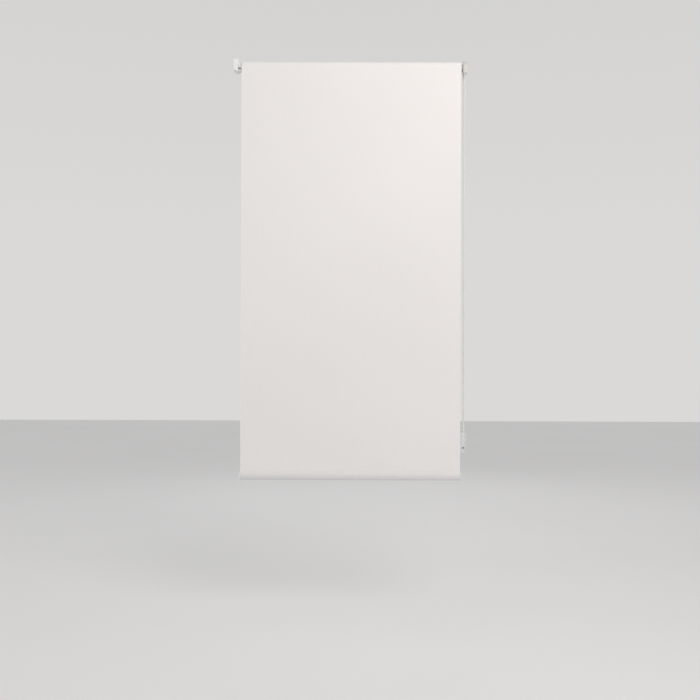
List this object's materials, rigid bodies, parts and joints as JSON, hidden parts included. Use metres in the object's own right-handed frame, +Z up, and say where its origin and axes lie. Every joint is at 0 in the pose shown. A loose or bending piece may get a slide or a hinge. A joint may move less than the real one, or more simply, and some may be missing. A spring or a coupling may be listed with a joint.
{
  "type": "roller blind",
  "caption": "Recess-mounted roller blind: keyed tube between two side brackets, plain fabric with a weighted hem, bead chain drive and a chain safety device.",
  "frame": {"origin": "outer face of the left bracket, at the height of the roller's axis", "axes": "+X along the roller from the left bracket to the chain, -Y to the room, +Y to the window, +Z up"},
  "size_m": [0.6, 0.038, 1.0775],
  "materials": {
    "blind_fabric": "plain closely woven white blind fabric, matt",
    "painted_steel": "white powder coat on pressed steel",
    "white_plastic": "moulded, satin",
    "chain_plastic": "moulded white beads on a cord",
    "spline_plastic": "extruded",
    "grey_plastic": "moulded, fine grain",
    "plated_steel": "zinc plated",
    "extruded_aluminium": "extruded, mill finish"
  },
  "bodies": {
    "mountings": {"left_bracket": "painted_steel", "left_bracket_cover": "white_plastic", "right_bracket": "painted_steel", "drive_spindle": "grey_plastic", "hub_retainer": "plated_steel", "hub_screw": "plated_steel", "chain_guard": "white_plastic", "bead_chain": "chain_plastic", "tidy_backplate": "white_plastic", "tidy_body": "white_plastic", "tidy_lock_screw": "plated_steel", "hanging_fabric": "blind_fabric"},
    "roller": {"roller_tube": "extruded_aluminium", "fabric_roll": "blind_fabric", "fabric_spline": "spline_plastic", "drive_hub": "grey_plastic", "idle_plug": "grey_plastic", "idle_plug_cap": "grey_plastic", "idle_spring": "plated_steel"},
    "idle_pin": {"idle_pin": "plated_steel"},
    "chain_wheel": {"chain_wheel": "white_plastic", "brake_spring_outer": "plated_steel", "brake_spring_inner": "plated_steel"},
    "bottom_rail": {"hem_pocket": "blind_fabric", "bottom_bar": "extruded_aluminium", "bar_end_cap_left": "white_plastic", "bar_end_cap_right": "white_plastic"},
    "chain_stop": {"chain_stop": "chain_plastic"},
    "chain_connector": {"chain_connector": "chain_plastic"}
  },
  "joints": [
    {"name": "roller_turn", "type": "hinge", "parent": "mountings", "child": "roller", "pos_m": [0.3, 0, 0], "axis": [-1, 0, 0], "range_deg": [0, 3240]},
    {"name": "chain_wheel_turn", "type": "hinge", "parent": "mountings", "child": "chain_wheel", "pos_m": [0.59445, 0, 0], "axis": [-1, 0, 0], "range_deg": [0, 3240]},
    {"name": "bottom_rail_lift", "type": "slide", "parent": "mountings", "child": "bottom_rail", "axis": [0, 0, 1], "range_m": [0, 1], "deforming": ["hanging_fabric"]},
    {"name": "chain_stop_travel", "type": "slide", "parent": "mountings", "child": "chain_stop", "axis": [0, -0.0048, -1], "range_m": [0, 0.66]},
    {"name": "chain_connector_travel", "type": "slide", "parent": "mountings", "child": "chain_connector", "axis": [0, -0.0048, 1], "range_m": [0, 0.66]},
    {"name": "idle_pin_plunge", "type": "slide", "parent": "roller", "child": "idle_pin", "axis": [1, 0, 0], "range_m": [0, 0.01], "stiffness_N_per_m": 150, "springref_m": -0.01, "deforming": ["idle_spring"]}
  ],
  "couplings": [
    {"joint": "chain_wheel_turn", "follows": "roller_turn", "ratio": 1},
    {"joint": "bottom_rail_lift", "follows": "roller_turn", "m_per_rad": 0.01768},
    {"joint": "chain_stop_travel", "follows": "roller_turn", "m_per_rad": 0.011591},
    {"joint": "chain_connector_travel", "follows": "roller_turn", "m_per_rad": 0.011591}
  ]
}
